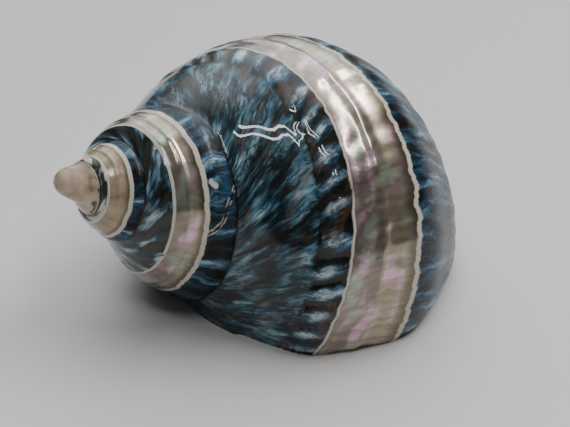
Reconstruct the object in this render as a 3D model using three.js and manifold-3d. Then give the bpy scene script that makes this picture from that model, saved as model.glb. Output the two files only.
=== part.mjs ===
// Turban shell: a snail shell of four whorls, lying on its open side.
// Millimetres, +Z up. The shell rests on the flat rim of its mouth, in the plane Z = 0.
// The apex points up and to -X, and the foot of the shell to +X.
//
// The shell is worked out about its own axis first: the apex is at the origin, the axis
// runs from the apex to the foot, and everything winds round it. A turn count t of 0 is
// close to the mouth, and t falls by one for each whorl towards the apex.

import * as THREE from "three";
import { mergeVertices } from "three/addons/utils/BufferGeometryUtils.js";
import Module from "manifold-3d";

// Size: the radius of the pearl band's upper edge at t = 0.
const SIZE = 25.0;

// Three lines wind round the shell from the apex to the mouth. Each grows by a steady
// factor per turn, bends a little over the last two turns, and flares at the mouth.
// The values are natural logarithms of radius and depth in units of SIZE, at t = -1.
const SUTURE = {
  radius: -0.649, grow: 0.844, bend: 0.100, flare: -2.155,
  depth: -0.191, drop: 0.880, dropBend: 0.201, dropFlare: -0.126,
};
const BAND_TOP = {
  radius: -1.019, grow: 0.972, bend: 0.100, flare: -0.209,
  depth: -0.683, drop: 0.888, dropBend: 0.201, dropFlare: -0.783,
};
const BAND_FOOT = {
  radius: -0.753, grow: 0.822, bend: 0.100, flare: -0.180,
  depth: -0.388, drop: 0.816, dropBend: 0.201, dropFlare: -0.552,
};
const FLARE_START = -0.5;
const EVEN_BEFORE = -1.5;

// How far the wall stands out between two lines, as a part of the distance between them.
const SHOULDER_BULGE = 0.021;
const BAND_BULGE = 0.017;
const SKIRT_BULGE = 0.063;

// The rounded foot of each whorl, in units of the suture's radius.
const FOOT_EDGE = { radius: 0.791, depth: 0.167 };
const FOOT_MIDDLE = { radius: 0.452, depth: 0.385 };
const FOOT_INNER = { radius: 0.24, depth: 0.36 };
const FOOT_CENTRE = { radius: 0, depth: 0.10 };

// The pillar in the middle: it widens like a cone, then narrows to a rounded tip that ends
// inside the foot of the mouth. Radius and depth in units of SIZE.
const PILLAR_SLOPE = 0.085;
const PILLAR_OUTLINE = [
  [0, 0], [0.085, 1.0], [0.16, 1.5], [0.20, 1.85], [0.18, 2.15], [0.10, 2.38], [0, 2.46],
];

// The smooth, blunt first whorl: a ball of this radius at this depth.
const TIP = { radius: 1.5, depth: 2.7 };

// The whorls run from the small first one to just past the mouth, in turns.
const FIRST_TURN = -3.6;
const LAST_TURN = 0.30;
const STEPS_PER_TURN = 28;
const POINTS_PER_SPAN = 2;

// The hollow: the wall that is left round it, and how far in it goes.
const WALL = 1.6;
const HOLLOW_TURNS = 0.95;
const PILLAR_SIDE = 0.27;

// How the shell lies: the slope of its axis, the side that is lowest, and the height of
// the apex above the rest plane.
const AXIS_SLOPE = THREE.MathUtils.degToRad(22.0);
const LOW_SIDE = THREE.MathUtils.degToRad(114.6);
const APEX_HEIGHT = 1.062 * SIZE;

// Radius and depth of one of the winding lines after t turns.
function lineAt(line, t) {
  const u = t + 1;
  const bent = Math.max(u, EVEN_BEFORE) ** 2;
  const flared = Math.max(t - FLARE_START, 0) ** 2;
  const radius = line.radius + line.grow * u + line.bend * bent + line.flare * flared;
  const depth = line.depth + line.drop * u + line.dropBend * bent + line.dropFlare * flared;
  return new THREE.Vector3(SIZE * Math.exp(radius), SIZE * Math.exp(depth), 0);
}

// The middle of two points of the outline, moved out of the wall.
function bulged(p, q, amount) {
  const middle = p.clone().add(q).multiplyScalar(0.5);
  middle.x += amount * (q.y - p.y);
  middle.y -= amount * (q.x - p.x);
  return middle;
}

// A point of the whorl's foot, measured from the suture.
function footPoint(suture, foot) {
  return new THREE.Vector3(suture.x * foot.radius, suture.y + suture.x * foot.depth, 0);
}

// The named points of a whorl's outline, from the suture above it to its foot.
function whorlPoints(t) {
  const above = lineAt(SUTURE, t - 1);
  const bandTop = lineAt(BAND_TOP, t);
  const bandFoot = lineAt(BAND_FOOT, t);
  const suture = lineAt(SUTURE, t);
  return {
    above,
    shoulder: bulged(above, bandTop, SHOULDER_BULGE),
    bandTop,
    band: bulged(bandTop, bandFoot, BAND_BULGE),
    bandFoot,
    skirt: bulged(bandFoot, suture, SKIRT_BULGE),
    suture,
    footEdge: footPoint(suture, FOOT_EDGE),
    footMiddle: footPoint(suture, FOOT_MIDDLE),
    footInner: footPoint(suture, FOOT_INNER),
  };
}

// The visible wall of a whorl as points, from the suture above it to its foot.
function wallPoints(t) {
  const points = Object.values(whorlPoints(t));
  const wall = new THREE.CatmullRomCurve3(points, false, "chordal");
  return wall.getPoints((points.length - 1) * POINTS_PER_SPAN);
}

// The closed outline of the filled whorl: the visible wall and the foot, and an inner side
// that stays inside the pillar.
function whorlOutline(t) {
  const above = lineAt(SUTURE, t - 1);
  const bottom = footPoint(lineAt(SUTURE, t), FOOT_CENTRE);
  const outline = wallPoints(t);
  outline.push(new THREE.Vector3(0.5 * PILLAR_SLOPE * bottom.y, bottom.y, 0));
  outline.push(new THREE.Vector3(0.5 * PILLAR_SLOPE * above.y, above.y, 0));
  return outline;
}

// The outline of the hollow: inside the wall, outside the pillar and under the whorl
// before it.
function hollowOutline(t) {
  const thick = WALL * Math.exp(0.3 * (t - LAST_TURN));
  const wall = wallPoints(t);
  const outline = [];
  for (let i = POINTS_PER_SPAN; i <= 8 * POINTS_PER_SPAN; i += 1) {
    const along = wall[i + 1].clone().sub(wall[i - 1]).normalize();
    const inward = new THREE.Vector3(-along.y, along.x, 0);
    outline.push(wall[i].clone().addScaledVector(inward, thick));
  }
  const outer = whorlPoints(t);
  const before = whorlPoints(t - 1);
  const side = PILLAR_SIDE * outer.suture.x;
  const low = outer.footMiddle.y - 3 * thick;
  const high = before.footMiddle.y + 2.5 * thick;
  outline.push(new THREE.Vector3(1.15 * side, low, 0));
  outline.push(new THREE.Vector3(side, 0.6 * low + 0.4 * high, 0));
  outline.push(new THREE.Vector3(side, 0.2 * low + 0.8 * high, 0));
  outline.push(new THREE.Vector3(before.footMiddle.x, before.footMiddle.y + thick, 0));
  outline.push(new THREE.Vector3(before.footEdge.x, before.footEdge.y + thick, 0));
  return outline;
}

// Winds a closed outline round the axis from one turn to another and caps both ends.
// The outline may change its shape on the way, but not its number of points.
function wind(outlineAt, from, to) {
  const steps = Math.ceil((to - from) * STEPS_PER_TURN);
  const outlines = [];
  for (let i = 0; i <= steps; i += 1) {
    outlines.push(outlineAt(from + ((to - from) * i) / steps));
  }
  const count = outlines[0].length;
  const positions = [];
  outlines.forEach((outline, i) => {
    const angle = 2 * Math.PI * (from + ((to - from) * i) / steps);
    outline.forEach((p) => positions.push(p.x * Math.cos(angle), p.x * Math.sin(angle), p.y));
  });
  const triangles = [];
  for (let i = 0; i < steps; i += 1) {
    for (let j = 0; j < count; j += 1) {
      const a = i * count + j;
      const b = i * count + ((j + 1) % count);
      triangles.push(a, a + count, b, b, a + count, b + count);
    }
  }
  [0, steps].forEach((column) => {
    const flat = outlines[column].map((p) => new THREE.Vector2(p.x, p.y));
    const outlineWay = THREE.ShapeUtils.isClockWise(flat);
    THREE.ShapeUtils.triangulateShape(flat, []).forEach((face) => {
      const faceWay = THREE.ShapeUtils.isClockWise(face.map((index) => flat[index]));
      const corners = face.map((index) => index + column * count);
      const turned = (faceWay === outlineWay) !== (column === 0);
      triangles.push(...(turned ? corners.reverse() : corners));
    });
  });
  const geometry = new THREE.BufferGeometry();
  geometry.setAttribute("position", new THREE.Float32BufferAttribute(positions, 3));
  geometry.setIndex(triangles);
  return geometry;
}

const wasm = await Module();
wasm.setup();

// A closed three.js geometry as a solid that can be joined and cut.
function toSolid(geometry) {
  geometry.deleteAttribute("normal");
  geometry.deleteAttribute("uv");
  const merged = mergeVertices(geometry, 1e-4);
  return new wasm.Manifold(new wasm.Mesh({
    numProp: 3,
    vertProperties: Float32Array.from(merged.getAttribute("position").array),
    triVerts: Uint32Array.from(merged.getIndex().array),
  }));
}

// A solid as a geometry whose faces share no vertices, so that it shades by its facets.
function toGeometry(solid) {
  const mesh = solid.getMesh();
  const geometry = new THREE.BufferGeometry();
  geometry.setAttribute("position", new THREE.Float32BufferAttribute(mesh.vertProperties, 3));
  geometry.setIndex(Array.from(mesh.triVerts));
  return geometry;
}

// The filled whorls, each piece a little less than one turn long.
const turns = LAST_TURN - FIRST_TURN;
const pieces = Math.ceil(turns / 0.9);
let shell = toSolid(wind(whorlOutline, FIRST_TURN, FIRST_TURN + turns / pieces));
for (let i = 1; i < pieces; i += 1) {
  const from = FIRST_TURN + (turns * i) / pieces;
  shell = shell.add(toSolid(wind(whorlOutline, from, from + turns / pieces)));
}

// The pillar in the middle, and the blunt tip.
const pillarPoints = PILLAR_OUTLINE.map(([r, depth]) => new THREE.Vector2(r * SIZE, depth * SIZE));
const pillar = new THREE.LatheGeometry(pillarPoints, 16);
pillar.rotateX(Math.PI / 2);
const tip = new THREE.SphereGeometry(TIP.radius, 14, 10);
tip.translate(0, 0, TIP.depth);
shell = shell.add(toSolid(pillar)).add(toSolid(tip));

// The hollow inside the last whorl, open at the mouth.
shell = shell.subtract(toSolid(wind(hollowOutline, LAST_TURN - HOLLOW_TURNS, LAST_TURN + 0.01)));

// Turn the shell so that it lies on its mouth: down is the low side, tipped by the slope.
const down = new THREE.Vector3(
  Math.cos(LOW_SIDE) * Math.cos(AXIS_SLOPE),
  Math.sin(LOW_SIDE) * Math.cos(AXIS_SLOPE),
  Math.sin(AXIS_SLOPE),
);
const up = down.clone().negate();
const along = new THREE.Vector3(0, 0, 1).projectOnPlane(down).normalize();
const across = new THREE.Vector3().crossVectors(up, along);
const lying = new THREE.Matrix4().makeBasis(along, across, up).invert();
lying.premultiply(new THREE.Matrix4().makeTranslation(0, 0, APEX_HEIGHT));
const lyingShell = toGeometry(shell).applyMatrix4(lying);

// Cut off what the mouth's plane leaves below it, which makes the mouth's flat rim.
const below = new THREE.BoxGeometry(12 * SIZE, 12 * SIZE, 2 * SIZE);
below.translate(0, 0, -SIZE);
const cut = toSolid(lyingShell).subtract(toSolid(below));

// Joining the whorls can leave slivers of no volume inside them: only the shell is kept.
const largest = cut.decompose().sort((a, b) => b.volume() - a.volume())[0];
const body = toGeometry(largest);

// Put the origin on the rest plane, under the middle of the shell.
body.computeBoundingBox();
const middle = body.boundingBox.getCenter(new THREE.Vector3());
body.translate(-middle.x, -middle.y, 0);

const group = new THREE.Group();
const turbanShell = new THREE.Mesh(
  body,
  new THREE.MeshStandardMaterial({ color: 0x2f4f63, roughness: 0.12, metalness: 0.0 }),
);
turbanShell.name = "turban_shell";
group.add(turbanShell);

export default group;
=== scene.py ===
import math

import bmesh
import bpy
import numpy as np
from mathutils import Matrix, Vector, noise


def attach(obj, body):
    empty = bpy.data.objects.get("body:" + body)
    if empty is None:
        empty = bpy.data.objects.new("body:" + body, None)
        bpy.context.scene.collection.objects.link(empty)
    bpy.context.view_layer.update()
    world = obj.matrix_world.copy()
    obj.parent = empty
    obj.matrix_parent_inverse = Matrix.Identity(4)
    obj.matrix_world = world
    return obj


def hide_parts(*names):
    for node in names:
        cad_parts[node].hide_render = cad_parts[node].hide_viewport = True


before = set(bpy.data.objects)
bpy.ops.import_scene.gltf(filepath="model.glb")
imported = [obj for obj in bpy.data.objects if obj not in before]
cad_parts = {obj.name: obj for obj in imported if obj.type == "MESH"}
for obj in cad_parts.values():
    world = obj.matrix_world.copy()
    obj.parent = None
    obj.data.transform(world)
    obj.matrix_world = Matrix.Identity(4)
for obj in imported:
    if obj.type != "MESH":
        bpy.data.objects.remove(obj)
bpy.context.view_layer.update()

# The spiral shell, in metres about its own axis: apex at the origin, axis down to the foot.
# A turn count of 0 is close to the mouth and falls by one for each whorl towards the apex.
shellForm = {
    "size": 0.025,              # radius of the pearl band's upper edge at turn 0
    # each line: start, growth, bend and flare of its radius, then of its depth, as logarithms
    "suture": (-0.649, 0.844, 0.100, -2.155, -0.191, 0.880, 0.201, -0.126),
    "bandTop": (-1.019, 0.972, 0.100, -0.209, -0.683, 0.888, 0.201, -0.783),
    "bandFoot": (-0.753, 0.822, 0.100, -0.180, -0.388, 0.816, 0.201, -0.552),
    "steadyFrom": -1.5,         # turns before turn -1 from which the bend stays as it is
    "flareFrom": -0.5,          # turn from which the last whorl flares
    "bulges": (0.021, 0.017, 0.063),            # shoulder, band, skirt
    # points of the foot, out and down, as shares of the suture's radius
    "foot": ((0.791, 0.167), (0.452, 0.385), (0.24, 0.36), (0.0, 0.10)),
    "firstTurn": -3.6,
    "lastTurn": 0.30,
    "startPoint": (0.3, 0.3, 0.6),              # where the start closes, as shares of its middle
    "stepsPerTurn": 240,
    "rowsPerSpan": 10,
    "lipLag": (0.153, 1.25),    # how far the growth lines lean at the suture, how soon they straighten
    "tuck": (0.0007, 0.0028),   # how far the wall draws in above the ground, and from what height
    "tuckFrom": (-0.8, 0.8),    # turn and outline point from which it does
    # turns between which the first whorls stop being fuller, how much fuller, how far they sink
    "spire": (-2.4, -1.0, 0.13, 0.0009),
    "axisSlope": 22.0,          # degrees
    "lowSide": 114.6,           # degrees round the axis to the side on the ground
    "apexHeight": 0.02655,
    "middle": (0.032840, -0.004281),            # puts the middle of the shell over the origin
    "sharpAngle": 50,           # degrees between faces from which an edge stays sharp
}


def lineAt(line, turn):
    u = turn + 1
    bent = np.maximum(u, shellForm["steadyFrom"]) ** 2
    flared = np.maximum(turn - shellForm["flareFrom"], 0) ** 2
    radius = line[0] + line[1] * u + line[2] * bent + line[3] * flared
    depth = line[4] + line[5] * u + line[6] * bent + line[7] * flared
    return shellForm["size"] * np.stack([np.exp(radius), np.exp(depth)], -1)


def bulged(p, q, amount):
    d = q - p
    return (p + q) / 2 + amount * np.stack([d[..., 1], -d[..., 0]], -1)


# The outline points are 0 suture above, 1 shoulder, 2 band top, 3 band, 4 band foot, 5 skirt,
# 6 suture and 7 to 10 foot.
sutureRow = 6


def whorlPoints(turn):
    above, suture = lineAt(shellForm["suture"], turn - 1), lineAt(shellForm["suture"], turn)
    top, low = lineAt(shellForm["bandTop"], turn), lineAt(shellForm["bandFoot"], turn)
    shoulder, band, skirt = shellForm["bulges"]
    points = [above, bulged(above, top, shoulder), top, bulged(top, low, band), low]
    points += [bulged(low, suture, skirt), suture]
    for out, down in shellForm["foot"]:
        points.append(np.stack([suture[..., 0] * out, suture[..., 1] + suture[..., 0] * down], -1))
    return np.stack(points, 1)


# One smooth curve through each row of points, with the same number of steps between two of them.
def smoothThrough(points, perSpan):
    before, after = 2 * points[:, :1] - points[:, 1:2], 2 * points[:, -1:] - points[:, -2:-1]
    p = np.concatenate([before, points, after], 1)
    x = np.arange(perSpan)[None, :, None] / perSpan
    rows = []
    for i in range(points.shape[1] - 1):
        p0, p1, p2, p3 = (p[:, i + k] for k in range(4))
        pairs = ((p0, p1), (p1, p2), (p2, p3))
        d0, d1, d2 = (np.linalg.norm(b - a, axis=-1, keepdims=True) + 1e-9 for a, b in pairs)
        m1 = ((p1 - p0) / d0 - (p2 - p0) / (d0 + d1) + (p2 - p1) / d1) * d1
        m2 = ((p2 - p1) / d1 - (p3 - p1) / (d1 + d2) + (p3 - p2) / d2) * d1
        p1, p2, m1, m2 = (v[:, None, :] for v in (p1, p2, m1, m2))
        bend, turnBack = -3 * p1 + 3 * p2 - 2 * m1 - m2, 2 * p1 - 2 * p2 + m1 + m2
        rows.append(p1 + m1 * x + bend * x ** 2 + turnBack * x ** 3)
    rows.append(points[:, -1:])
    return np.concatenate(rows, 1)


def wound(outline, turns):
    angle = 2 * np.pi * turns[:, None]
    return np.stack([outline[..., 0] * np.cos(angle), outline[..., 0] * np.sin(angle), outline[..., 1]], -1)


def outwards(outline):
    along = np.gradient(outline, axis=1)
    along /= np.linalg.norm(along, axis=-1, keepdims=True) + 1e-12
    return np.stack([along[..., 1], -along[..., 0]], -1)


# Where a point of the wall is on the shell as it grew: g counts turns along the growth lines,
# u and v are millimetres along the whorl and across it.
def growthPlaces(turns, q, outline):
    lag, reach = shellForm["lipLag"]
    g = turns[:, None] - lag * np.exp(-q[None, :] / reach)
    table = np.linspace(-5, 1, 6001)
    walked = np.cumsum(2 * np.pi * lineAt(shellForm["bandTop"], table)[:, 0]) * (table[1] - table[0]) * 1000
    u = np.interp(g, table, walked)
    steps = np.diff(outline, axis=1, prepend=outline[:, :1])
    v = np.cumsum(np.linalg.norm(steps, axis=-1), 1) * 1000
    return g, u, v


def stepUp(x, low, high):
    x = np.clip((x - low) / (high - low), 0, 1)
    return x * x * (3 - 2 * x)


def between(x, low, full, fading, high):
    return stepUp(x, low, full) * (1 - stepUp(x, fading, high))


# The bars beside the band swing once in about 3.7 mm, and the colour uses the same wave.
# Each sway has its strength, its length in mm along the whorl and its lean across it.
barWave = {"pitch": 3.7, "slow": (1.3, 4.3, 0.21), "quick": (0.7, 1.9, 0.30)}


def barsAt(u, v):
    a, b, c = barWave["slow"]
    d, e, f = barWave["quick"]
    along = 2 * np.pi * u / barWave["pitch"] + a * np.sin(u / b + c * v)
    return np.sin(along + d * np.sin(u / e + f * v + 1))


# Old breaks that healed and the mark of an old lip, as points in turns and outline points.
scars = {
    "longCrack": [(-0.907, 4.0), (-0.915, 4.4), (-0.93, 4.9), (-0.96, 5.3), (-0.985, 5.95)],
    "spireCrack": [(-0.682, 0.27), (-0.757, 0.73), (-0.80, 1.45), (-0.831, 2.07)],
    "chip": [(-0.995, 4.22), (-0.988, 4.55)],
    "oldLip": [(0.118, 0.1), (0.086, 0.47), (0.067, 0.77), (0.048, 1.1), (0.025, 1.43), (0.012, 1.95)],
}


# The points of a scar in millimetres along the whorl and across it.
def scarPlaces(name):
    turns = np.array([turn for turn, row in scars[name]])
    perSpan = 10
    count = sutureRow * perSpan + 1
    q = np.arange(count) / perSpan
    u, v = growthPlaces(turns, q, smoothThrough(whorlPoints(turns), perSpan)[:, :count])[1:]
    rows = [row for turn, row in scars[name]]
    return [(np.interp(row, q, u[i]), np.interp(row, q, v[i])) for i, row in enumerate(rows)]


def unevenness(u, v, alongScale, acrossScale, layer):
    places = zip((u * alongScale).ravel(), (v * acrossScale).ravel())
    return np.array([noise.noise(Vector((a, b, layer))) for a, b in places]).reshape(u.shape)


# Low forms on the wall: heights and depths in metres, rows in outline points.
reliefForm = {
    "growth": (0.55, -0.2, 0.12, 1.2),          # rate per turn, turn of full height, least, most
    "ridge": (0.00028, 2.87, 0.13),             # the low ridge along the band: height, row, half width
    "sutureDip": (0.00022, 0.5, 0.07),          # depth, reach in mm from above, half width from below
    "groove": (0.00010, 1.40, 0.09),            # the shallow line above the bars: depth, row, half width
    "grooveTurns": (-0.9, -0.6),                # turns between which it sets in
    "bars": 0.00010,
    "barRows": ((1.42, 1.55, 1.9, 2.02), (4.05, 4.25, 5.6, 5.95)),
    "earlyRow": (0.2, 0.6, 1.8, 2.0),
    "early": (-0.7, 0.6, 0.5),                  # turn before which whorls are early, share of each row there
    "rugged": (1.6, -0.02, 0.06, 2.1),          # how much higher the last bars are, turns, row where it ends
    "bandWaves": (0.00020, 0.50, 0.12, 5.0),    # height, scale along and across, layer
    "bandRow": (2.05, 2.25, 3.7, 3.95),
    "swell": (0.00014, 0.16, 0.07, 0.0),        # slow unevenness left by the polishing
    "footFade": (8.5, 9.5),
}


def relief(turns, q, u, v):
    form, turn, row = reliefForm, turns[:, None], q[None, :]
    rate, fullTurn, least, most = form["growth"]
    scale = np.clip(np.exp(rate * (turn - fullTurn)), least, most)
    height, middle, half = form["ridge"]
    high = height * scale * np.exp(-((row - middle) / half) ** 2)
    depth, reach, half = form["sutureDip"]
    high = high - depth * scale * (np.exp(-v / reach) + np.exp(-((row - sutureRow) / half) ** 2))
    depth, middle, half = form["groove"]
    later = stepUp(turn, *form["grooveTurns"])
    high = high - depth * scale * later * np.exp(-((row - middle) / half) ** 2)
    earlyTurn, usualShare, earlyShare = form["early"]
    bars = sum(between(row, *limits) for limits in form["barRows"])
    early = earlyShare * between(row, *form["earlyRow"])
    bars = np.where(turn < earlyTurn, np.maximum(bars * usualShare, early), bars)
    more, start, full, lastRow = form["rugged"]
    rugged = 1 + more * stepUp(turn, start, full) * (row < lastRow)
    high = high + form["bars"] * scale * bars * rugged * barsAt(u, v)
    height, *pattern = form["bandWaves"]
    high = high + height * scale * between(row, *form["bandRow"]) * unevenness(u, v, *pattern)
    height, *pattern = form["swell"]
    high = high + height * scale * unevenness(u, v, *pattern)
    return high * (1 - stepUp(row, *form["footFade"]))


def lyingMatrix():
    slope, side = math.radians(shellForm["axisSlope"]), math.radians(shellForm["lowSide"])
    down = Vector((math.cos(side) * math.cos(slope), math.sin(side) * math.cos(slope), math.sin(slope)))
    along = (Vector((0, 0, 1)) - down * down.z).normalized()
    across = (-down).cross(along)
    mx, my = shellForm["middle"]
    return Matrix.Translation((-mx, -my, shellForm["apexHeight"])) @ Matrix((along, across, -down)).to_4x4()


def closedMesh(name, verts, faces, maps=None):
    mesh = bpy.data.meshes.new(name)
    mesh.from_pydata([tuple(v) for v in verts], [], faces)
    for mapName, pairs in (maps or {}).items():
        mesh.uv_layers.new(name=mapName).data.foreach_set("uv", np.asarray(pairs, np.float32).ravel())
    bm = bmesh.new()
    bm.from_mesh(mesh)
    bmesh.ops.recalc_face_normals(bm, faces=bm.faces)
    bmesh.ops.triangulate(bm, faces=[f for f in bm.faces if len(f.verts) > 4])
    bm.to_mesh(mesh)
    bm.free()
    piece = bpy.data.objects.new(name, mesh)
    bpy.context.scene.collection.objects.link(piece)
    return piece


def makeWhorls():
    form = shellForm
    steps, per = form["stepsPerTurn"], form["rowsPerSpan"]
    first, last = round(form["firstTurn"] * steps), round(form["lastTurn"] * steps)
    turns = np.arange(first, last + 1) / steps
    outline = smoothThrough(whorlPoints(turns), per)
    wallRows, allRows = sutureRow * per, outline.shape[1] - 1
    q = np.arange(allRows + 1) / per
    g, u, v = growthPlaces(turns, q, outline)
    high = relief(turns, q, u, v)
    high[:, [0, wallRows]] = 0
    # the wall draws in a little just above the ground
    upwards = lyingMatrix()[2]
    height = wound(outline, turns) @ np.array(upwards[:3]) + upwards[3]
    tuckDepth, tuckHeight = form["tuck"]
    tuckTurn, tuckRow = form["tuckFrom"]
    body = (turns[:, None] > tuckTurn) & (q[None, :] > tuckRow) & (q[None, :] < sutureRow)
    high -= tuckDepth * body * np.clip(1 - height / tuckHeight, 0, 1) ** 2
    places = wound(outline + outwards(outline) * high[..., None], turns)
    places[:, -1, :2] = 0
    # the first whorls are fuller and a little lower
    oldest, youngest, fuller, sink = form["spire"]
    across = np.clip(q / sutureRow, 0, 1)[None, :]
    above, below = (stepUp(at, oldest, youngest)[:, None] for at in (turns - 1, turns))
    share = (1 - (1 - across) * above - across * below)[..., None]
    places[..., :2] *= 1 + fuller * share
    places -= sink * share * np.array(upwards[:3])
    verts, index = [], {}

    # a whorl's first row is the suture of the whorl before it
    def corner(i, j):
        if j == 0 and i - steps >= first:
            return corner(i - steps, wallRows)
        if (i, j) not in index:
            index[i, j] = len(verts)
            verts.append(places[i - first, j])
        return index[i, j]

    faces, growth, grain = [], [], []
    for i in range(first, last):
        for j in range(allRows if i >= last - steps else wallRows):
            around = ((i, j), (i + 1, j), (i + 1, j + 1), (i, j + 1))
            faces.append(tuple(corner(a, b) for a, b in around))
            growth += [(g[a - first, b], q[b]) for a, b in around]
            grain += [(u[a - first, b], v[a - first, b]) for a, b in around]
    # the end of the last whorl, below the ground, and the small start inside the tip
    end = [corner(last, j) for j in range(allRows + 1)]
    end += [corner(i, allRows) for i in range(last - 1, last - steps - 1, -1)]
    end += [corner(last - steps, j) for j in range(allRows - 1, wallRows, -1)]
    faces.append(tuple(end))
    start = [corner(i, 0) for i in range(first, first + steps + 1)]
    start += [corner(first, j) for j in range(wallRows - 1, 0, -1)]
    verts.append(places[0, :wallRows].mean(0) * np.array(form["startPoint"]))
    faces += [(b, a, len(verts) - 1) for a, b in zip(start, start[1:] + start[:1])]
    more = len(end) + 3 * len(start)
    growth += [(form["firstTurn"], 1.0)] * more
    grain += [(u[0, 0], 1.0)] * more
    return closedMesh("shell_skin", verts, faces, {"growth": growth, "grain": grain})


# The hollow of the last whorl: inside the wall, outside the pillar, under the whorl before it.
hollowForm = {
    "wall": 0.0016,             # thickness at the mouth
    "growth": 0.3,              # how fast it grows with the turns
    "turns": 0.95,
    "past": 0.01,               # turns by which the hollow runs out of the last whorl's end
    "pillarSide": 0.27,         # its inner side, as a share of the suture's radius
    "pillarFoot": 1.15,         # how much wider that side is at the foot
    "clear": (3, 2.5),          # wall thicknesses below the foot and under the whorl before
    "steps": 150,
    "rows": 8,
}


def makeHollow():
    form, last = hollowForm, shellForm["lastTurn"]
    per = form["rows"]
    turns = np.linspace(last - form["turns"], last + form["past"], form["steps"])
    wall = smoothThrough(whorlPoints(turns)[:, :10], per)
    thick = form["wall"] * np.exp(form["growth"] * (turns - last))
    inner = (wall - outwards(wall) * thick[:, None, None])[:, per:8 * per + 1]
    outer, before = whorlPoints(turns), whorlPoints(turns - 1)
    side = form["pillarSide"] * outer[:, 6, 0]
    clearLow, clearHigh = form["clear"]
    low, high = outer[:, 8, 1] - clearLow * thick, before[:, 8, 1] + clearHigh * thick
    points = [(form["pillarFoot"] * side, low)]
    points += [(side, 0.6 * low + 0.4 * high), (side, 0.2 * low + 0.8 * high)]
    points += [(before[:, row, 0], before[:, row, 1] + thick) for row in (8, 7)]
    rest = np.stack([np.stack(p, -1) for p in points], 1)
    rest = smoothThrough(np.concatenate([inner[:, -1:], rest, inner[:, :1]], 1), per)[:, 1:-1]
    places = wound(np.concatenate([inner, rest], 1), turns)
    rings, sides = places.shape[:2]
    faces = []
    for a in range(0, (rings - 1) * sides, sides):
        b = a + sides
        faces += [(a + j, b + j, b + (j + 1) % sides, a + (j + 1) % sides) for j in range(sides)]
    faces += [tuple(range(sides)), tuple((rings - 1) * sides + j for j in range(sides - 1, -1, -1))]
    return closedMesh("shell_hollow", places.reshape(-1, 3), faces)


# A closed form turned about the axis, from an outline of radius and depth.
def turned(name, points, sides, maps=None):
    ring = [(math.cos(2 * math.pi * k / sides), math.sin(2 * math.pi * k / sides)) for k in range(sides)]
    verts = [(r * c, r * s, h) for r, h in points[1:-1] for c, s in ring]
    verts = [(0, 0, points[0][1])] + verts + [(0, 0, points[-1][1])]
    faces = [(0, 1 + (k + 1) % sides, 1 + k) for k in range(sides)]
    for i in range(len(points) - 3):
        a = 1 + i * sides
        b = a + sides
        faces += [(a + k, a + (k + 1) % sides, b + (k + 1) % sides, b + k) for k in range(sides)]
    a = 1 + (len(points) - 3) * sides
    faces += [(a + k, a + (k + 1) % sides, len(verts) - 1) for k in range(sides)]
    corners = sum(len(face) for face in faces)
    return closedMesh(name, verts, faces, {key: [at] * corners for key, at in (maps or {}).items()})


# The pillar in the middle, its outline in the shell's own size.
pillarForm = {
    "outline": ((0, 0.3), (0.085, 1.0), (0.16, 1.5), (0.20, 1.85), (0.18, 2.15), (0.10, 2.38), (0, 2.46)),
    "steps": 6,
    "sides": 64,
}


def makePillar():
    points = np.array(pillarForm["outline"])[None] * shellForm["size"]
    return turned("shell_pillar", smoothThrough(points, pillarForm["steps"])[0], pillarForm["sides"])


# The blunt first whorls, worn to a smooth cone. The outline is in millimetres.
tipForm = {
    "outline": (
        (0, 1.05), (1.05, 1.28), (1.72, 1.95), (2.12, 2.85),
        (2.42, 3.80), (2.66, 4.50), (1.8, 5.4), (0, 5.6),
    ),
    "steps": 5,
    "sides": 48,
    "softening": ((0.0062, 5), (0.0050, 8), (0.0036, 10)),      # depth from the apex, rounds
    "softRadius": 0.005,
    "softness": 0.5,
}


def makeTip():
    points = smoothThrough(np.array(tipForm["outline"])[None] / 1000, tipForm["steps"])[0]
    maps = {"growth": (shellForm["firstTurn"], 1.0), "grain": (1.0, 1.0)}
    tip = turned("shell_tip", points, tipForm["sides"], maps)
    tip.data.transform(Matrix.Translation(-shellForm["spire"][3] * lyingMatrix().row[2].xyz))
    return tip


def softenTip(piece):
    bm = bmesh.new()
    bm.from_mesh(piece.data)
    reach, factor = tipForm["softRadius"], tipForm["softness"]
    for depth, rounds in tipForm["softening"]:
        near = [v for v in bm.verts if v.co.z < depth and math.hypot(v.co.x, v.co.y) < reach]
        for _ in range(rounds):
            bmesh.ops.smooth_vert(
                bm, verts=near, factor=factor, use_axis_x=True, use_axis_y=True, use_axis_z=True)
    bm.to_mesh(piece.data)
    bm.free()


# What is cut away below the ground, in metres.
groundBlock = {"half": 0.2, "deep": 0.1}


def makeGround():
    half, deep = groundBlock["half"], groundBlock["deep"]
    corners = [(x, y, z) for z in (-deep, 0) for y in (-half, half) for x in (-half, half)]
    sides = [(0, 1, 3, 2), (4, 5, 7, 6), (0, 1, 5, 4), (2, 3, 7, 6), (0, 2, 6, 4), (1, 3, 7, 5)]
    return closedMesh("shell_ground", corners, sides)


def combine(piece, other, how):
    step = piece.modifiers.new(how, "BOOLEAN")
    step.operation, step.object, step.solver = how, other, "MANIFOLD"
    with bpy.context.temp_override(object=piece, active_object=piece, selected_objects=[piece]):
        bpy.ops.object.modifier_apply(modifier=step.name)
    bpy.data.objects.remove(other)


shell = makeWhorls()
print("whorls wound:", len(shell.data.polygons), "faces")
combine(shell, makePillar(), "UNION")
combine(shell, makeTip(), "UNION")
combine(shell, makeHollow(), "DIFFERENCE")
softenTip(shell)
shell.data.transform(lyingMatrix())
combine(shell, makeGround(), "DIFFERENCE")
shell.data.shade_smooth()
shell.data.set_sharp_from_angle(angle=math.radians(shellForm["sharpAngle"]))
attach(shell, "root")
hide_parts("turban_shell")
print("shell joined, hollowed and laid on its mouth:", len(shell.data.polygons), "faces")


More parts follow.
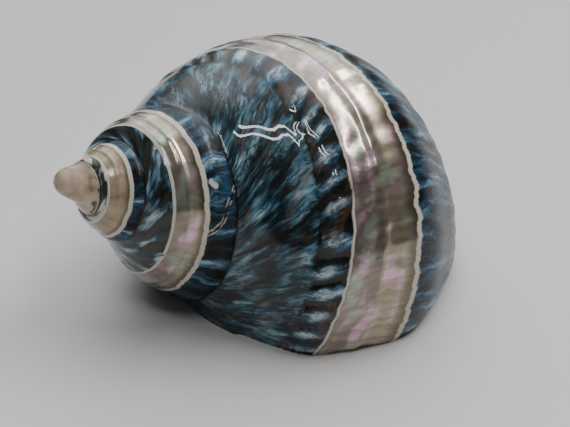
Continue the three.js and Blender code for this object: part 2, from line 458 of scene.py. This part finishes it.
# Small helpers for building a material from nodes.
def tint(code):
    parts = [int(code[i:i + 2], 16) / 255 for i in (1, 3, 5)]
    parts = [c / 12.92 if c <= 0.04045 else ((c + 0.055) / 1.055) ** 2.4 for c in parts]
    return (*parts, 1.0)


class Nodes:
    def __init__(self, tree):
        self.tree = tree

    def put(self, kind, inputs=(), **settings):
        made = self.tree.nodes.new(kind)
        for key, value in settings.items():
            setattr(made, key, value)
        for key, value in (inputs.items() if isinstance(inputs, dict) else enumerate(inputs)):
            if isinstance(value, bpy.types.NodeSocket):
                self.tree.links.new(value, made.inputs[key])
            else:
                made.inputs[key].default_value = value
        return made

    def calc(self, how, *values):
        return self.put("ShaderNodeMath", values, operation=how).outputs[0]

    def add(self, *values):
        total = values[0]
        for value in values[1:]:
            total = self.calc("ADD", total, value)
        return total

    def times(self, a, b):
        return self.calc("MULTIPLY", a, b)

    # a pattern between 0 and 1 turned into a swing about zero
    def swing(self, value, amount):
        return self.times(self.add(value, -0.5), amount)

    def rise(self, value, low, high, start=0.0, end=1.0):
        inputs = {"Value": value, "From Min": low, "From Max": high, "To Min": start, "To Max": end}
        return self.put("ShaderNodeMapRange", inputs, interpolation_type="SMOOTHSTEP").outputs[0]

    def fall(self, value, low, high):
        return self.rise(value, low, high, 1.0, 0.0)

    def line(self, value, middle, half):
        return self.fall(self.calc("ABSOLUTE", self.calc("SUBTRACT", value, middle)), 0.0, half)

    def noise(self, place, scale, detail, rough=0.5):
        inputs = {"Vector": place, "Scale": scale, "Detail": detail, "Roughness": rough}
        return self.put("ShaderNodeTexNoise", inputs).outputs[0]

    def pattern(self, x, y, alongScale, acrossScale, detail, rough, layer):
        place = (self.times(x, alongScale), self.times(y, acrossScale), layer)
        return self.noise(self.put("ShaderNodeCombineXYZ", place).outputs[0], 1.0, detail, rough)

    def splitMap(self, name):
        place = self.put("ShaderNodeUVMap", uv_map=name).outputs[0]
        parts = self.put("ShaderNodeSeparateXYZ", (place,)).outputs
        return place, parts[0], parts[1]

    # how far a place is from a line through some points
    def crack(self, place, points):
        nearest = None
        for (ua, va), (ub, vb) in zip(points, points[1:]):
            run = Vector((ub - ua, vb - va, 0))
            offset = self.put("ShaderNodeVectorMath", (place, (ua, va, 0)), operation="SUBTRACT").outputs[0]
            dot = self.put("ShaderNodeVectorMath", (offset, run / run.length_squared), operation="DOT_PRODUCT")
            share = self.put("ShaderNodeClamp", (dot.outputs["Value"],)).outputs[0]
            foot = self.put("ShaderNodeVectorMath", {0: run, "Scale": share}, operation="SCALE").outputs[0]
            away = self.put("ShaderNodeVectorMath", (offset, foot), operation="DISTANCE").outputs["Value"]
            nearest = away if nearest is None else self.calc("MINIMUM", nearest, away)
        return nearest

    def ramp(self, value, stops):
        made = self.put("ShaderNodeValToRGB", (value,))
        points = made.color_ramp.elements
        while len(points) < len(stops):
            points.new(0.5)
        for point, (at, code) in zip(points, stops):
            point.position, point.color = at, tint(code)
        return made.outputs[0]

    def mix(self, amount, a, b):
        a, b = (tint(value) if isinstance(value, str) else value for value in (a, b))
        return self.put("ShaderNodeMix", {0: amount, 6: a, 7: b}, data_type="RGBA").outputs[2]


def freshMaterial(name):
    made = bpy.data.materials.new(name)
    made.use_nodes = True
    tree = made.node_tree
    return made, Nodes(tree), tree.nodes["Principled BSDF"]


# The polished outside: blue and brown growth lines, the pearl band, pale borders, sutures and apex.
outsideLook = {
    "blues": ((0.36, "#090b0b"), (0.44, "#15272d"), (0.50, "#2c4f5d"), (0.56, "#557f90"), (0.69, "#b6ccd2")),
    "bars": ((0.12, "#070706"), (0.32, "#12191c"), (0.50, "#274355"), (0.68, "#547d94"), (0.90, "#c3d3d8")),
    "early": ((0.15, "#0b0d0c"), (0.34, "#1d2420"), (0.50, "#2b4654"), (0.66, "#5f7f8e"), (0.88, "#bccbcd")),
    "base": ((0.30, "#0d0a08"), (0.42, "#14222c"), (0.53, "#2a4d63"), (0.64, "#5d8399"), (0.76, "#c4d1d5")),
    "lineBrown": "#150d08",
    "warmBrown": "#59402b",
    "greenBrown": "#3b4234",
    "cream": "#cfc9bb",
    # pearl tones: the step from the darker mauve to the lighter beige is partly the pearl's own tone and
    # partly painted light on the lower facet
    "pearlMauve": "#94867c",
    "pearlBeige": "#b0a28b",
    # pink and green: partly the pearl's own tints, partly painted sheen standing in for its play of colour
    "pearlPink": "#e3bccb",
    "pearlGreen": "#c2dcc3",
    "pearlGold": "#b79f78",
    "pearlEdge": "#655945",
    "suture": "#1a110b",
    "apex": ((0.38, "#8b7661"), (0.50, "#b09a82"), (0.62, "#c6b39d")),
    "apexGreen": "#4a564c",
    "apexGrain": (330.0, 3.0),  # scale per metre, detail
    "roughness": 0.30,
    "pearlRoughness": 0.23,
    "pearlMetal": 0.75,
    "coatRoughness": 0.02,
    "coatIor": 1.40,
    "baseCoat": 0.12,           # the polish is thinner below the band
    "under": 0.15,              # how much the colour under the polish shines by itself
    "crack": (0.15, 0.40),      # half width of a crack and of the pale line beside it, in mm
    "chip": (0.20, 0.40),       # half width of the chip, in mm, and where it ends
    "oldLip": (0.25, 0.62),     # half width of the dark line, in mm, and where it ends
    "besideLip": (0.5, 2.2),    # the same for the brown shade beside it
    "bump": 0.30,
    "bumpDistance": 0.00012,
}

# Patterns on the wall: scale along the whorl and across it per mm, detail, roughness, layer.
patterns = {
    "slow": (0.17, 0.12, 2.0, 0.5, 0.0),
    "quick": (0.8, 0.45, 2.0, 0.5, 3.0),
    "wide": (0.34, 0.26, 2.0, 0.5, 1.0),
    "fine": (1.4, 0.40, 3.0, 0.65, 2.0),
    "cloud": (0.14, 0.17, 2.0, 0.5, 4.0),
    "longLines": (0.70, 0.16, 1.0, 0.5, 5.0),
    "shortLines": (1.9, 0.42, 2.0, 0.6, 6.0),
    "flecks": (2.4, 0.75, 3.0, 0.7, 16.0),
    "warm": (0.20, 0.30, 2.0, 0.5, 7.0),
    "blobs": (0.34, 0.42, 2.0, 0.55, 17.0),
    "broken": (0.30, 0.2, 2.0, 0.6, 18.0),
    "thin": (0.75, 0.07, 3.0, 0.6, 8.0),
    "ripple": (0.45, 0.0, 2.0, 0.5, 9.0),
    "bite": (0.55, 0.0, 3.0, 0.6, 10.0),
    "pink": (0.22, 0.35, 2.0, 0.5, 11.0),
    "green": (0.26, 0.30, 2.0, 0.5, 12.0),
    "streaks": (1.1, 0.10, 3.0, 0.6, 13.0),
    "mossy": (14.0, 0.6, 2.0, 0.5, 15.0),       # per turn and per outline point
    "wobble": (1.2, 1.2, 2.0, 0.6, 19.0),
}


def outsideMaterial():
    look = outsideLook
    made, n, shader = freshMaterial("polished blue shell")
    g, q = n.splitMap("growth")[1:]
    grain, u, v = n.splitMap("grain")

    def pattern(name, along=u):
        return n.pattern(along, v, *patterns[name])

    # growth lines wander a little
    quick = pattern("quick")
    wander = n.add(u, n.swing(pattern("slow"), 2.4), n.swing(quick, 1.5))
    wide = pattern("wide", wander)
    fine = pattern("fine", wander)
    blue = n.ramp(n.add(n.times(wide, 0.58), n.times(fine, 0.42)), look["blues"])
    longLines = n.line(pattern("longLines", wander), 0.5, 0.020)
    shortLines = n.line(pattern("shortLines", wander), 0.5, 0.035)
    flecks = n.rise(pattern("flecks", wander), 0.50, 0.56, 0.0, 0.85)
    many = n.times(n.calc("MAXIMUM", shortLines, flecks), n.rise(pattern("cloud"), 0.42, 0.58))
    lines = n.calc("MAXIMUM", n.times(longLines, 0.9), many)
    warm = n.rise(pattern("warm"), 0.52, 0.64, 0.0, 0.9)
    blue = n.mix(n.times(warm, fine), blue, look["warmBrown"])
    blue = n.mix(lines, blue, look["lineBrown"])

    # the row of bars beside the band
    a, b, c = barWave["slow"]
    d, e, f = barWave["quick"]
    first = n.times(n.calc("SINE", n.add(n.times(u, 1 / b), n.times(v, c))), a)
    second = n.times(n.calc("SINE", n.add(n.times(u, 1 / e), n.times(v, f), 1.0)), d)
    wave = n.calc("SINE", n.add(n.times(u, 2 * math.pi / barWave["pitch"]), first, second))
    blobs = pattern("blobs")
    core = n.times(n.rise(q, 1.42, 1.70), n.fall(q, 1.72, 2.02))
    grainy = n.add(n.swing(fine, 1.0), n.swing(wide, 0.7))
    shade = n.add(n.times(wave, 0.30), 0.36, grainy, n.times(core, 0.24), n.swing(blobs, 0.8))
    bars = n.ramp(shade, look["bars"])
    bars = n.mix(n.times(warm, 0.7), bars, look["warmBrown"])
    bars = n.mix(n.times(lines, 0.8), bars, look["lineBrown"])

    # whole whorls of blocks higher up
    blocky = n.add(0.46, n.times(wave, 0.13), n.swing(blobs, 2.4), n.swing(fine, 0.7))
    early = n.ramp(blocky, look["early"])
    early = n.mix(n.rise(blobs, 0.47, 0.40, 0.0, 0.65), early, look["greenBrown"])
    early = n.mix(n.times(n.line(blobs, 0.5, 0.022), 0.8), early, look["lineBrown"])
    early = n.mix(n.times(n.fall(g, -1.9, -1.6), n.rise(blobs, 0.46, 0.54)), early, look["cream"])
    rowEdge = n.add(q, n.swing(quick, 0.16))
    broken = n.rise(pattern("broken"), 0.44, 0.54)
    seam = n.times(n.line(rowEdge, 1.44, 0.07), n.times(n.rise(g, -0.80, -0.60), broken))
    body = n.mix(n.rise(rowEdge, 1.38, 1.52), blue, bars)
    body = n.mix(seam, body, look["lineBrown"])
    body = n.mix(n.rise(g, -0.62, -0.85), body, early)

    # below the band
    streaky = n.add(n.swing(pattern("thin", wander), 1.25), n.times(wave, 0.05), 0.46)
    base = n.mix(n.times(lines, 0.7), n.ramp(streaky, look["base"]), look["lineBrown"])
    body = n.mix(n.rise(q, 3.7, 3.75), body, base)

    # the band: pearl between two wavy pale borders
    young = n.fall(g, -1.3, -0.3)
    upper = n.calc("SUBTRACT", q, n.add(n.swing(pattern("ripple"), 0.14), 2.0))
    lower = n.calc("SUBTRACT", n.add(n.swing(pattern("bite"), 0.42), 3.97), q)
    innerUpper = n.calc("SUBTRACT", upper, n.add(n.times(young, 0.14), 0.07))
    innerLower = n.calc("SUBTRACT", lower, n.add(n.times(young, 0.17), 0.15))
    border = n.times(n.rise(upper, -0.015, 0.015), n.rise(lower, -0.03, 0.03))
    pearl = n.times(n.rise(innerUpper, -0.02, 0.02), n.rise(innerLower, -0.03, 0.03))
    # the darker mauve above the low ridge and the lighter beige below it: partly the pearl's own tones, partly
    # painted light, the lower facet painted brighter as if it caught more light
    nacre = n.mix(n.rise(q, 2.80, 2.92), look["pearlMauve"], look["pearlBeige"])
    # pink and green patches: partly the pearl's own tints, partly painted sheen standing in for the play of
    # colour that the pearl shows in the light
    nacre = n.mix(n.rise(pattern("pink"), 0.48, 0.66, 0.0, 0.85), nacre, look["pearlPink"])
    nacre = n.mix(n.rise(pattern("green"), 0.50, 0.70, 0.0, 0.55), nacre, look["pearlGreen"])
    nacre = n.mix(n.rise(g, -1.9, -1.4, 0.7, 0.0), nacre, look["pearlGold"])
    nacre = n.mix(n.rise(pattern("streaks", wander), 0.40, 0.58, 0.40, 0.0), nacre, look["pearlEdge"])
    nacre = n.mix(n.rise(innerLower, 0.05, 0.42, 0.85, 0.0), nacre, look["pearlEdge"])
    nacre = n.mix(n.rise(innerUpper, 0.0, 0.06, 0.6, 0.0), nacre, look["pearlEdge"])
    body = n.mix(border, body, look["cream"])
    body = n.mix(pearl, body, nacre)

    # apex and sutures
    place = n.put("ShaderNodeTexCoord").outputs["Object"]
    apex = n.ramp(n.noise(place, *look["apexGrain"]), look["apex"])
    moss = n.times(n.rise(n.pattern(g, q, *patterns["mossy"]), 0.50, 0.58), n.rise(q, 3.0, 3.8))
    apex = n.mix(n.times(moss, n.rise(g, -3.15, -2.95)), apex, look["apexGreen"])
    body = n.mix(n.fall(n.add(g, n.swing(fine, 0.3)), -2.75, -2.50), body, apex)
    seamTop = n.fall(n.add(v, n.swing(fine, 0.35)), 0.10, 0.34)
    seamRow = n.times(n.rise(q, 5.90, 5.97), n.fall(q, 6.05, 6.20))
    seamLow = n.times(seamRow, n.fall(g, -0.75, -0.6))
    seamAll = n.times(n.calc("MAXIMUM", seamTop, seamLow), n.rise(g, -3.0, -2.6, 0.25, 1.0))
    body = n.mix(seamAll, body, look["suture"])

    # scars
    half, beside = look["crack"]
    wobble = n.swing(pattern("wobble"), 0.5)
    far = {name: n.crack(grain, scarPlaces(name)) for name in scars}
    cracks = n.add(n.calc("MINIMUM", far["longCrack"], far["spireCrack"]), wobble)
    rim = n.times(n.rise(cracks, half, beside, 0.85, 0.0), n.rise(quick, 0.46, 0.54))
    rim = n.calc("MAXIMUM", rim, n.rise(n.add(far["chip"], wobble), *look["chip"], 0.9, 0.0))
    onBand = n.times(pearl, n.fall(g, -1.2, -0.7))
    dark = n.times(n.rise(cracks, half * 0.4, half * 1.4, 0.95, 0.0), n.rise(onBand, 0.0, 1.0, 1.0, 0.4))
    lip = n.add(far["oldLip"], n.times(wobble, 2.0))
    body = n.mix(n.rise(lip, *look["besideLip"], 0.45, 0.0), body, look["lineBrown"])
    body = n.mix(rim, body, look["cream"])
    lipLine = n.times(n.rise(lip, *look["oldLip"], 0.95, 0.0), n.rise(fine, 0.30, 0.42))
    dark = n.calc("MAXIMUM", dark, lipLine)
    body = n.mix(dark, body, look["suture"])

    n.tree.links.new(body, shader.inputs["Base Color"])
    metal = n.times(n.times(pearl, look["pearlMetal"]), n.rise(g, -1.9, -1.3, 0.3, 1.0))
    n.tree.links.new(metal, shader.inputs["Metallic"])
    roughness = n.rise(pearl, 0.0, 1.0, look["roughness"], look["pearlRoughness"])
    n.tree.links.new(roughness, shader.inputs["Roughness"])
    shader.inputs["Specular IOR Level"].default_value = look["under"]
    n.tree.links.new(n.rise(q, 3.8, 4.3, 1.0, look["baseCoat"]), shader.inputs["Coat Weight"])
    shader.inputs["Coat Roughness"].default_value = look["coatRoughness"]
    shader.inputs["Coat IOR"].default_value = look["coatIor"]
    height = n.add(n.times(fine, 0.5), n.times(lines, -0.6), n.times(seamAll, -1.0), n.times(dark, -1.0))
    height = n.times(height, n.rise(border, 0.0, 1.0, 1.0, 0.05))
    inputs = {"Strength": look["bump"], "Distance": look["bumpDistance"], "Height": height}
    n.tree.links.new(n.put("ShaderNodeBump", inputs).outputs[0], shader.inputs["Normal"])
    return made


# The bare mother-of-pearl inside the mouth.
liningLook = {
    "colours": ((0.30, "#b9ab9f"), (0.45, "#d3cbc0"), (0.58, "#c9b7bd"), (0.70, "#c3cfc0")),
    "metal": 0.30,
    "roughness": 0.24,
    "coat": 0.4,
    "coatRoughness": 0.08,
    "cloud": (90.0, 3.0),       # scale per metre, detail
    "grain": (400.0, 2.0),
    "bump": 0.15,
    "bumpDistance": 0.0001,
}


def liningMaterial():
    look = liningLook
    made, n, shader = freshMaterial("pearl lining")
    place = n.put("ShaderNodeTexCoord").outputs["Object"]
    n.tree.links.new(n.ramp(n.noise(place, *look["cloud"]), look["colours"]), shader.inputs["Base Color"])
    shader.inputs["Metallic"].default_value = look["metal"]
    shader.inputs["Roughness"].default_value = look["roughness"]
    shader.inputs["Coat Weight"].default_value = look["coat"]
    shader.inputs["Coat Roughness"].default_value = look["coatRoughness"]
    fine = n.noise(place, *look["grain"])
    inputs = {"Strength": look["bump"], "Distance": look["bumpDistance"], "Height": fine}
    n.tree.links.new(n.put("ShaderNodeBump", inputs).outputs[0], shader.inputs["Normal"])
    return made


# The faces that the hollow and the ground cut have no place on the grown wall: they get the lining.
def dress(piece):
    mesh = piece.data
    mesh.materials.clear()
    mesh.materials.append(outsideMaterial())
    mesh.materials.append(liningMaterial())
    mapped = np.zeros(len(mesh.loops) * 2, np.float32)
    mesh.uv_layers["growth"].data.foreach_get("uv", mapped)
    bare = np.abs(mapped).reshape(-1, 2).sum(1) < 1e-6
    starts = np.zeros(len(mesh.polygons), np.int32)
    mesh.polygons.foreach_get("loop_start", starts)
    mesh.polygons.foreach_set("material_index", np.logical_and.reduceat(bare, starts).astype(np.int32))


dress(shell)
print("finishes on: outside and lining")


studio = {
    "floor": "#d2d0ce",
    "floorSize": 6,
    "floorRoughness": 0.55,
    "world": (0.80, 0.82, 0.85),
    "low": 0.10,                # light from around
    "high": 3.0,                # soft light from above
    "towards": (0.38, 0.44, 0.81),
    "spread": (0.66, 0.99),
    "lamps": (                  # place over the shell in metres, width, length, turn, power
        (-0.205, -0.13, 0.50, 0.012, 0.22, 0, 0.26),
        (-0.250, -0.13, 0.50, 0.012, 0.22, 0, 0.26),
        (0.280, -0.13, 0.50, 0.042, 0.50, -19, 1.95),
    ),
}


def makeFloor():
    bpy.ops.mesh.primitive_plane_add(size=studio["floorSize"], location=(0, 0, 0))
    floor = bpy.context.object
    floor.name = "floor"
    made, _, shader = freshMaterial("pale floor")
    shader.inputs["Base Color"].default_value = tint(studio["floor"])
    shader.inputs["Roughness"].default_value = studio["floorRoughness"]
    floor.data.materials.append(made)


def makeLight():
    world = bpy.data.worlds.new("studio")
    world.use_nodes = True
    n = Nodes(world.node_tree)
    background = world.node_tree.nodes["Background"]
    background.inputs[0].default_value = (*studio["world"], 1)
    way = n.put("ShaderNodeTexCoord").outputs["Generated"]
    near = n.put("ShaderNodeVectorMath", (way, studio["towards"]), operation="DOT_PRODUCT").outputs["Value"]
    strength = n.rise(near, *studio["spread"], studio["low"], studio["high"])
    world.node_tree.links.new(strength, background.inputs[1])
    bpy.context.scene.world = world
    for i, (x, y, z, wide, long, turn, power) in enumerate(studio["lamps"]):
        data = bpy.data.lights.new(f"lamp_{i}", "AREA")
        data.shape, data.size, data.size_y, data.energy = "RECTANGLE", wide, long, power
        lamp = bpy.data.objects.new(f"lamp_{i}", data)
        bpy.context.scene.collection.objects.link(lamp)
        # the lamp faces the shell with its long side along y
        back = Vector((x, y, z)).normalized()
        along = (Vector((0, 1, 0)) - back * back.y).normalized()
        facing = Matrix((along.cross(back), along, back)).transposed()
        facing = facing @ Matrix.Rotation(math.radians(turn), 3, "Z")
        lamp.matrix_world = Matrix.Translation((x, y, z)) @ facing.to_4x4()


photoCamera = {
    "place": (-0.09664, -0.12543, 0.09902),
    "turn": (60.983, -0.033, -38.563),          # degrees
    "lens": 76.68,
    "sensor": 36,
    "clip": (0.01, 20),
}


def makeCamera():
    data = bpy.data.cameras.new("photo_camera")
    camera = bpy.data.objects.new("photo_camera", data)
    bpy.context.scene.collection.objects.link(camera)
    data.sensor_width, data.lens = photoCamera["sensor"], photoCamera["lens"]
    data.clip_start, data.clip_end = photoCamera["clip"]
    camera.location = photoCamera["place"]
    camera.rotation_euler = [math.radians(a) for a in photoCamera["turn"]]
    bpy.context.scene.camera = camera


makeFloor()
makeLight()
makeCamera()
print("floor, light and camera set")
